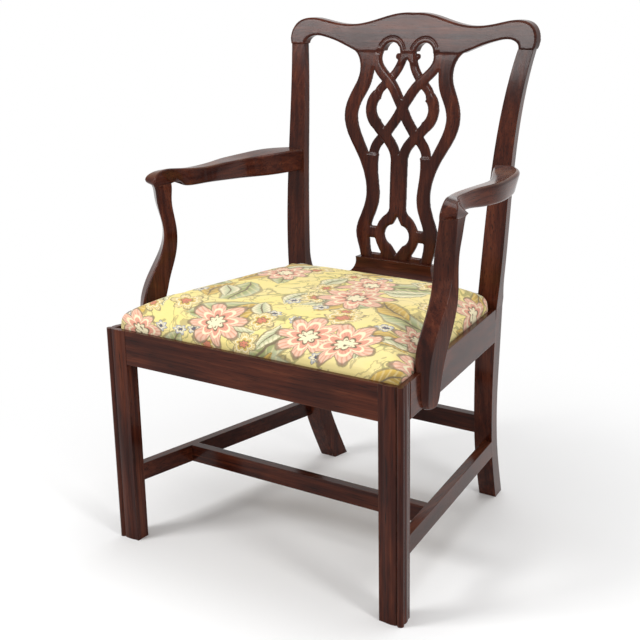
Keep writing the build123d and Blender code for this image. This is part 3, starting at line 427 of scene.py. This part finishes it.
def flowers(g, ground, place, scale, seed, petals, size, tints, present):
    """Lays outlined blossoms with a ruffled edge, veined petals and a dotted centre over a ground."""
    inner, outer, vein, heart = tints
    radius, angle, chance = scattered(g, place, scale, seed)
    turned = g.scaled(angle, petals / 2, g.times(chance[0], FULL_TURN))
    lobes = g.times(g.math("SUBTRACT", g.math("ABSOLUTE", g.math("COSINE", turned)), 0.64), 0.42)
    frill = g.times(g.math("SUBTRACT", g.noise(place, scale * 9, detail=2), 0.5), 0.2)
    reach = g.scaled(chance[1], size * 0.35, size)
    edge = g.times(reach, g.math("ADD", g.math("ADD", lobes, frill), 0.87))
    share = g.math("DIVIDE", radius, edge)
    shown = g.math("GREATER_THAN", chance[2], 1 - present)
    petal = g.mix(g.step(share, 0.3, 0.95), inner, outer)
    veins = g.scaled(g.math("COSINE", g.times(angle, petals * 5)), 0.5, 0.5)
    petal = g.mix(g.times(g.step(veins, 0.5, 0.9), 0.55), petal, vein)
    petal = g.mix(band(g, share, 0.62, 0.07), petal, CREAM)
    petal = g.mix(g.step(share, 0.36, 0.3), petal, heart)
    petal = g.mix(band(g, share, 0.34, 0.05), petal, OUTLINE)
    dots = g.step(g.noise(place, scale * 22, detail=1), 0.6, 0.66)
    petal = g.mix(g.times(dots, g.step(share, 0.28, 0.22)), petal, OUTLINE)
    laid = g.mix(g.times(g.step(share, 1.03, 0.97), shown), ground, petal)
    line = g.times(g.times(band(g, share, 1.0, 0.075), shown), 0.75)
    return g.mix(line, laid, OUTLINE)


def leaves(g, ground, place, scale, seed, tints, present):
    """Lays pointed leaves with a mid vein, turned every way, over a ground."""
    middle, rim, rib = tints
    radius, angle, chance = scattered(g, place, scale, seed)
    turned = g.math("ADD", angle, g.times(chance[0], FULL_TURN))
    along = g.times(radius, g.math("COSINE", turned))
    bend = g.times(along, along)
    aside = g.math("ADD", g.times(radius, g.math("SINE", turned)), g.times(bend, 0.5))
    off = g.math("ABSOLUTE", aside)
    room = g.math("SUBTRACT", 0.2, g.times(bend, 1.05))
    share = g.math("DIVIDE", off, g.math("MAXIMUM", room, 0.001))
    shown = g.math("GREATER_THAN", chance[2], 1 - present)
    blade = g.mix(g.step(share, 0.1, 0.95), middle, rim)
    ribs = g.math("SINE", g.times(g.math("SUBTRACT", along, off), 52.0))
    blade = g.mix(g.times(g.step(ribs, 0.3, 0.9), 0.45), blade, rib)
    blade = g.mix(band(g, share, 0.0, 0.12), blade, OUTLINE)
    laid = g.mix(g.times(g.step(share, 1.05, 0.95), shown), ground, blade)
    line = g.times(g.times(band(g, share, 1.05, 0.16), shown), 0.6)
    return g.mix(line, laid, OUTLINE)


def needlework(name):
    """Wool needlework: flowers, leaves and winding stems on a straw-yellow ground."""
    g = material_graph(name)
    place = stitched_place(g)
    colour = g.mix(g.step(g.noise(place, 9.0, detail=3), 0.35, 0.7), GROUND_WARM, GROUND_PALE)
    winding = g.noise(place, 8.5, detail=2, roughness=0.5, distortion=1.2)
    colour = g.mix(g.times(band(g, winding, 0.5, 0.012), 0.7), colour, STEM)
    wisps = g.noise(place, 21.0, detail=2, roughness=0.5, distortion=0.8)
    colour = g.mix(g.times(band(g, wisps, 0.55, 0.02), 0.45), colour, OUTLINE)
    for motif in LEAVES:
        colour = leaves(g, colour, place, *motif)
    for motif in FLOWERS:
        colour = flowers(g, colour, place, *motif)
    wool = g.noise(g.place(), 900.0, detail=2)
    colour = g.mix(g.times(wool, 0.22), colour, FUZZ)
    slant = weave(g, g.place(), STITCH * 2, math.radians(45))
    height = g.scaled(slant, 0.8, g.times(wool, 0.3))
    return g.finish(Base_Color=colour, Roughness=0.88, Specular_IOR_Level=0.2, Sheen_Weight=0.12,
                    Normal=g.bump(height, STITCH_DEPTH))


WOOD = {axis: mahogany("mahogany_" + axis, axis, FRAME_TOP_WEAR_AND_LIGHT) for axis in "xyz"}
ARM_WOOD = mahogany("mahogany_arm", "y", ARM_TOP_WEAR_AND_LIGHT)
BEECH = pale_wood("bare_beech")
STEEL = metal("screw_steel", STEEL_TINTS, rough=0.3)
BLUED = metal("blued_steel", BLUED_TINTS, rough=0.32)
JUTE = coarse_cloth("jute_webbing", JUTE_THREAD_AND_SHADE, JUTE_PITCH, JUTE_DEPTH)
HESSIAN = coarse_cloth("hessian", HESSIAN_THREAD_AND_SHADE, HESSIAN_PITCH, HESSIAN_DEPTH)
NEEDLE = needlework("needlework")


# Pieces

def dress(names, material):
    """Gives CAD pieces their material."""
    for name in names:
        nodes[name].data.materials.clear()
        nodes[name].data.materials.append(material)


def new_piece(name, verts, faces, material, body):
    """A mesh piece that rides on a body."""
    mesh = bpy.data.meshes.new(name)
    mesh.from_pydata([tuple(v) for v in verts], [], faces)
    mesh.materials.append(material)
    piece = bpy.data.objects.new(name, mesh)
    scene.collection.objects.link(piece)
    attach(piece, body)
    return piece


def settle(piece):
    """Makes a piece's modifiers part of its mesh."""
    graph = bpy.context.evaluated_depsgraph_get()
    mesh = bpy.data.meshes.new_from_object(piece.evaluated_get(graph))
    piece.modifiers.clear()
    piece.data = mesh


def even_mesh(piece, voxel, smoothing):
    """Remeshes a piece in even small faces and smooths it."""
    remesh = piece.modifiers.new("remesh", "REMESH")
    remesh.mode = "VOXEL"
    remesh.voxel_size = voxel
    smooth = piece.modifiers.new("smooth", "SMOOTH")
    smooth.factor = 0.5
    smooth.iterations = smoothing
    settle(piece)


def thicken(piece, thickness, offset):
    """Turns a sheet into a skin; offset is 0 for both ways, -1 for inwards."""
    skin = piece.modifiers.new("skin", "SOLIDIFY")
    skin.thickness = thickness
    skin.offset = offset


# Carved back

def ridge_points(mesh, front, span, joint):
    """Points along the edges of a carved piece's front face, between two levels and away from a joint."""
    cad = bmesh.new()
    cad.from_mesh(mesh)
    bmesh.ops.remove_doubles(cad, verts=cad.verts, dist=WELD)
    points = []
    for edge in cad.edges:
        if len(edge.link_faces) != 2 or not edge.is_convex:
            continue
        facing = sorted(face.normal.dot(front) for face in edge.link_faces)
        if facing[1] < FRONT_FACING or facing[0] > SIDE_FACING:
            continue
        a, b = (vertex.co.copy() for vertex in edge.verts)
        level = (a.z + b.z) / 2
        if not span[0] + JOINT_CLEAR < level < span[1] - JOINT_CLEAR or abs(level - joint) < JOINT_CLEAR:
            continue
        steps = max(1, int((b - a).length / RIDGE_STEP))
        points += [a.lerp(b, (i + 0.5) / steps) for i in range(steps)]
    cad.free()
    return points


def carve(mesh, points, front, splat_top):
    """Cuts a mesh's front back to a quarter round along its edges, and grooves the crest round the loops."""
    ridge_tree = KDTree(len(points))
    for index, point in enumerate(points):
        ridge_tree.insert(point, index)
    ridge_tree.balance()
    for vertex in mesh.vertices:
        ridge = ridge_tree.find(vertex.co)[0]
        off = vertex.co - ridge
        behind = -off.dot(front)
        aside = (off + behind * front).length
        looped = splat_top < ridge.z < splat_top + LOOP_RISE and abs(abs(ridge.x) - LOOP_X) < LOOP_RISE
        if behind > ROUND_DEPTH:
            continue
        if aside < ROUND_WIDTH:
            round_over = ROUND_DEPTH * (1 - math.sqrt(1 - (1 - aside / ROUND_WIDTH) ** 2))
            vertex.co -= front * max(0.0, round_over - max(behind, 0.0))
        elif looped and vertex.co.z > splat_top:
            vertex.co -= front * GROOVE_DEPTH * max(0.0, 1 - abs(aside - GROOVE_OFFSET) / GROOVE_HALF)


def carved_back():
    """Crest and splat as one finely meshed piece, edges rounded over and a groove round each loop."""
    front = Vector((0, -1, BACK_RAKE)).normalized()
    crest_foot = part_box("rear_post_right")[1].z - CREST_TENON
    splat_foot, splat_top = (end.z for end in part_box("back_splat"))
    splat_foot += SPLAT_TENON
    splat_top -= SPLAT_TENON
    crest_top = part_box("crest_rail")[1].z + RIDGE_STEP + JOINT_CLEAR
    both = bmesh.new()
    points = []
    for name, span in (("back_splat", (splat_foot, splat_top)), ("crest_rail", (splat_top, crest_top))):
        both.from_mesh(nodes[name].data)
        points += ridge_points(nodes[name].data, front, span, crest_foot)
    mesh = bpy.data.meshes.new("carved_back")
    both.to_mesh(mesh)
    both.free()
    piece = bpy.data.objects.new("carved_back", mesh)
    scene.collection.objects.link(piece)
    weld = piece.modifiers.new("weld", "WELD")
    weld.merge_threshold = WELD
    even_mesh(piece, CARVE_VOXEL, CARVE_SMOOTHING)
    carve(piece.data, points, front, splat_top)
    piece.data.shade_smooth()
    piece.data.materials.clear()
    piece.data.materials.append(WOOD["z"])
    piece.data.materials.append(WOOD["x"])
    for face in piece.data.polygons:
        face.material_index = 1 if face.center.z > splat_top else 0
    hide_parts("back_splat", "crest_rail")
    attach(piece, "chair_frame")


# Drop-in seat

def bezier(a, b, c, t):
    """Point on the curve from a to c that b draws aside."""
    return a * (1 - t) ** 2 + b * 2 * t * (1 - t) + c * t ** 2


def seat_corners(inset):
    """Corners of the seat's plan, inset from the cover's edge."""
    low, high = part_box("seat_cover")
    near = low.y + inset
    far = high.y - inset
    front = high.x + SEAT_CORNER * SPLAY - SPLAY * inset - inset
    rear = front - SPLAY * (far - near)
    return [Vector((-front, near)), Vector((front, near)), Vector((rear, far)), Vector((-rear, far))]


def seat_outline(inset):
    """The seat's outline from above, with rounded corners and its sides drawn in."""
    corners = seat_corners(inset)
    shares = [i / CORNER_STEPS for i in range(CORNER_STEPS + 1)]
    arcs = []
    for index, corner in enumerate(corners):
        before = (corners[index - 1] - corner).normalized()
        after = (corners[(index + 1) % 4] - corner).normalized()
        cut = SEAT_CORNER / math.tan(before.angle(after) / 2)
        arcs.append([bezier(corner + before * cut, corner, corner + after * cut, t) for t in shares])
    points = []
    for arc, following in zip(arcs, arcs[1:] + arcs[:1]):
        points += arc
        start, end = arc[-1], following[0]
        inward = Vector((start.y - end.y, end.x - start.x)).normalized()
        for i in range(1, SIDE_STEPS):
            share = i / SIDE_STEPS
            points.append(start.lerp(end, share) + inward * SIDE_DRAW * 4 * share * (1 - share))
    return points


def crown_rings():
    """Inset and height above the rails of the rings that shape the crown."""
    rings = []
    for step in range(CROWN_STEPS + 1):
        inset = CROWN_RUN * (step / CROWN_STEPS) ** CROWN_SPACING
        share = 1 - inset / CROWN_RUN
        lift = (1 - share ** CROWN_FULLNESS) ** (1 / CROWN_FULLNESS)
        rings.append((inset, SEAT_WALL + (CROWN - SEAT_WALL) * lift))
    return rings


def stuffed_form():
    """Closed mesh of the stuffed seat, a little lower than it ends up."""
    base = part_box("seat_cover")[0].z
    levels = [(0.0, base)] + [(inset, base + RAIL_DROP + rise) for inset, rise in crown_rings()]
    verts = []
    for inset, level in levels:
        verts += [(p.x, p.y, level) for p in seat_outline(inset)]
    count = len(verts) // len(levels)
    faces = [list(range(count))[::-1], list(range(len(verts) - count, len(verts)))]
    for ring in range(len(levels) - 1):
        start = ring * count
        for i in range(count):
            following = (i + 1) % count
            faces.append([start + i, start + following, start + count + following, start + count + i])
    return verts, faces


def blow_up(piece, held_below):
    """Swells a closed piece as stretched cloth under pressure; what is below a level stays put."""
    held = piece.vertex_groups.new(name="held")
    held.add([v.index for v in piece.data.vertices if v.co.z < held_below], 1.0, "REPLACE")
    cloth = piece.modifiers.new("cloth", "CLOTH")
    cloth.settings.quality = CLOTH_QUALITY
    cloth.settings.mass = CLOTH_MASS
    cloth.settings.tension_stiffness = CLOTH_STIFFNESS
    cloth.settings.compression_stiffness = CLOTH_STIFFNESS
    cloth.settings.bending_stiffness = CLOTH_BENDING
    cloth.settings.use_pressure = True
    cloth.settings.uniform_pressure_force = CLOTH_PRESSURE
    cloth.settings.vertex_group_mass = "held"
    cloth.settings.effector_weights.gravity = 0.0
    cloth.collision_settings.use_collision = False
    cloth.point_cache.frame_start = 1
    cloth.point_cache.frame_end = CLOTH_FRAMES
    before = [v.co.copy() for v in piece.data.vertices]
    for number in range(1, CLOTH_FRAMES + 1):
        scene.frame_set(number)
    settle(piece)
    scene.frame_set(1)
    for vertex, start in zip(piece.data.vertices, before):
        move = vertex.co - start
        aside = Vector((move.x, move.y, 0))
        aside *= min(1.0, SIDE_CAP / max(aside.length, 1e-9))
        vertex.co = start + aside + Vector((0, 0, max(-CLOTH_CAP, min(CLOTH_CAP, move.z))))


def open_underside(piece, base):
    """Cuts the cover's underside away inside its hem."""
    corners = seat_corners(HEM_WIDTH)
    mesh = bmesh.new()
    mesh.from_mesh(piece.data)
    inner = []
    for face in mesh.faces:
        centre = face.calc_center_median()
        side = corners[1].x - SPLAY * (centre.y - corners[1].y)
        within = corners[1].y < centre.y < corners[2].y and abs(centre.x) < side
        if centre.z < base + SEAT_VOXEL and face.normal.z < HEM_FACING and within:
            inner.append(face)
    bmesh.ops.delete(mesh, geom=inner, context="FACES")
    mesh.to_mesh(piece.data)
    mesh.free()


def seat_cover():
    """Needlework cover drawn over the stuffing, its hem turned under the frame."""
    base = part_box("seat_cover")[0].z
    verts, faces = stuffed_form()
    piece = new_piece("needlework_seat", verts, faces, NEEDLE, "drop_in_seat")
    even_mesh(piece, SEAT_VOXEL, SEAT_SMOOTHING)
    blow_up(piece, base + RAIL_DROP + HELD_RISE)
    open_underside(piece, base)
    piece.data.shade_smooth()
    piece.data.materials.clear()
    piece.data.materials.append(NEEDLE)
    thicken(piece, COVER_THICKNESS, -1)
    rounder = piece.modifiers.new("rounder", "SUBSURF")
    rounder.levels = 1
    rounder.render_levels = 1
    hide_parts("seat_cover", "seat_stuffing")


def web_places():
    """Middle lines of the webs: x of the lengthwise ones, y of the crosswise ones."""
    low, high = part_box("webbing_lengthwise")
    half = (high.x - WEB_WIDTH / 2) / (1 - 1 / WEB_COUNT)
    lengthwise = [half * (2 * (i + 0.5) / WEB_COUNT - 1) for i in range(WEB_COUNT)]
    crosswise = [low.y + (high.y - low.y) * (i + 0.5) / WEB_COUNT for i in range(WEB_COUNT)]
    return lengthwise, crosswise


def over_under(position, crossings, parity, start, end):
    """-1 to 1 along a web that passes over and under the crossing webs and lies down at its ends."""
    marks = [(start + WEB_FOLD, -1.0)]
    marks += [(c, 1.0 if (i + parity) % 2 else -1.0) for i, c in enumerate(crossings)]
    marks += [(end - WEB_FOLD, -1.0)]
    for (a, low), (b, high) in zip(marks, marks[1:]):
        if a <= position <= b:
            share = (position - a) / (b - a)
            share = share * share * (3 - 2 * share)
            return low + (high - low) * share
    return -1.0


def web_line(start, end, crossings, parity, level):
    """Places and heights along one web, from one folded end to the other."""
    folded = level + WEB_THICKNESS
    line = [(start + WEB_FOLD, folded), (start, folded)]
    for i in range(WEB_STEPS + 1):
        place = start + (end - start) * i / WEB_STEPS
        rise = over_under(place, crossings, parity, start, end) + 1
        line.append((place, level + WEB_THICKNESS / 2 * rise))
    return line + [(end, folded), (end - WEB_FOLD, folded)]


def web_mesh(name, lengthwise):
    """Parallel jute webs, woven with the others, their ends folded back under the tacks."""
    along_x, along_y = web_places()
    low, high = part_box("webbing_lengthwise")
    level = low.z + WEB_THICKNESS / 2
    front_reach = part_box("webbing_crosswise")[1].x
    verts = []
    faces = []
    for index in range(WEB_COUNT):
        if lengthwise:
            middle = along_x[index]
            line = web_line(low.y, high.y, along_y, index + 1, level)
        else:
            middle = along_y[index]
            reach = front_reach - SPLAY * (middle - along_y[0])
            line = web_line(-reach, reach, along_x, index, level)
        first = len(verts)
        for place, height in line:
            for side in (middle - WEB_WIDTH / 2, middle + WEB_WIDTH / 2):
                verts.append((side, place, height) if lengthwise else (place, side, height))
        for i in range(len(line) - 1):
            a = first + 2 * i
            faces.append([a, a + 1, a + 3, a + 2])
    piece = new_piece("woven_" + name, verts, faces, JUTE, "drop_in_seat")
    thicken(piece, WEB_THICKNESS * WEB_SKIN, 0)
    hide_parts(name)
    return piece


def hessian_sheet():
    """Base cloth over the webs, sagging a little into the squares between them."""
    corners = seat_corners(HESSIAN_INSET)
    near, far = corners[1].y, corners[2].y
    along_x, along_y = web_places()
    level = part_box("base_cloth")[0].z + HESSIAN_THICKNESS / 2
    verts = []
    faces = []
    for j in range(HESSIAN_ROWS + 1):
        y = near + (far - near) * j / HESSIAN_ROWS
        half = corners[1].x - SPLAY * (y - near)
        for i in range(HESSIAN_COLUMNS + 1):
            x = half * (2 * i / HESSIAN_COLUMNS - 1)
            free = min(min(abs(x - c) for c in along_x), min(abs(y - c) for c in along_y)) - WEB_WIDTH / 2
            within = min(half - abs(x), y - near, far - y) > HESSIAN_EDGE
            sag = HESSIAN_SAG * max(0.0, min(1.0, free / HESSIAN_EASE)) if within else 0.0
            verts.append((x, y, level - sag))
    for j in range(HESSIAN_ROWS):
        for i in range(HESSIAN_COLUMNS):
            a = j * (HESSIAN_COLUMNS + 1) + i
            faces.append([a, a + 1, a + HESSIAN_COLUMNS + 2, a + HESSIAN_COLUMNS + 1])
    piece = new_piece("hessian_base_cloth", verts, faces, HESSIAN, "drop_in_seat")
    piece.data.shade_smooth()
    thicken(piece, HESSIAN_THICKNESS, 0)
    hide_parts("base_cloth")


# Studio

def floor():
    """A pale floor that keeps the chair's shadow and fades to white away from it."""
    mesh = bpy.data.meshes.new("floor")
    corners = [(x * FLOOR_HALF, y * FLOOR_HALF, 0) for x, y in ((-1, -1), (1, -1), (1, 1), (-1, 1))]
    mesh.from_pydata(corners, [], [(0, 1, 2, 3)])
    plane = bpy.data.objects.new("floor", mesh)
    scene.collection.objects.link(plane)
    g = material_graph("floor_white")
    grey = g.add("ShaderNodeBsdfDiffuse", {"Color": FLOOR_GREY}).outputs[0]
    white = g.add("ShaderNodeEmission", {"Strength": 1.0}).outputs[0]
    fade = g.step(g.length(g.place()), *FLOOR_FADE)
    faded = g.add("ShaderNodeMixShader", {0: fade, 1: grey, 2: white}).outputs[0]
    g.add("ShaderNodeOutputMaterial", {0: faded})
    mesh.materials.append(g.owner)


def studio_world():
    """White to the camera, in reflections and through glass, softer as a light."""
    scene.world = bpy.data.worlds.new("studio")
    g = Graph(scene.world)
    path = g.add("ShaderNodeLightPath").outputs
    seen = g.math("MAXIMUM", path["Is Camera Ray"], path["Is Glossy Ray"])
    shown = g.math("MAXIMUM", seen, path["Is Transmission Ray"])
    light = g.add("ShaderNodeMix", {0: shown, 2: WORLD_LIGHT, 3: 1.0}, data_type="FLOAT").outputs[0]
    background = g.add("ShaderNodeBackground", {"Color": (1, 1, 1, 1), "Strength": light}).outputs[0]
    g.add("ShaderNodeOutputWorld", {0: background})


def softbox(name, place, size, power):
    """A rectangular lamp aimed at the middle of the chair."""
    lamp = bpy.data.lights.new(name, "AREA")
    lamp.shape = "RECTANGLE"
    lamp.size, lamp.size_y = size
    lamp.energy = power
    piece = bpy.data.objects.new(name, lamp)
    piece.location = place
    piece.rotation_euler = (Vector(SOFTBOX_AIM) - Vector(place)).to_track_quat("-Z", "Y").to_euler()
    scene.collection.objects.link(piece)


def camera():
    """The photograph's camera, placed by azimuth, elevation and roll about its target."""
    azimuth, elevation, roll = (math.radians(v) for v in (CAMERA_AZIMUTH, CAMERA_ELEVATION, CAMERA_ROLL))
    back = Vector((math.sin(azimuth) * math.cos(elevation), -math.cos(azimuth) * math.cos(elevation),
                   math.sin(elevation)))
    level = Vector((math.cos(azimuth), math.sin(azimuth), 0))
    upright = back.cross(level)
    right = level * math.cos(roll) + upright * math.sin(roll)
    up = back.cross(right)
    data = bpy.data.cameras.new("camera")
    data.lens = LENS
    data.sensor_width = SENSOR
    piece = bpy.data.objects.new("camera", data)
    turn = Matrix((right, up, back)).transposed().to_4x4()
    piece.matrix_world = Matrix.Translation(Vector(CAMERA_TARGET) + back * CAMERA_DISTANCE) @ turn
    scene.collection.objects.link(piece)
    scene.camera = piece


dress(GRAIN_X, WOOD["x"])
dress(GRAIN_Y, WOOD["y"])
dress(GRAIN_Z, WOOD["z"])
dress(ARMS, ARM_WOOD)
dress(PALE_WOOD, BEECH)
dress(SCREWS, STEEL)
dress(["seat_tacks"], BLUED)
dress(["webbing_lengthwise", "webbing_crosswise"], JUTE)
dress(["base_cloth", "seat_stuffing"], HESSIAN)
dress(["seat_cover"], NEEDLE)

carved_back()
seat_cover()
webs = [web_mesh("webbing_lengthwise", True), web_mesh("webbing_crosswise", False)]
hessian_sheet()

floor()
studio_world()
for name, place, size, power in SOFTBOXES:
    softbox(name, place, size, power)
camera()
scene.view_settings.view_transform = "Standard"
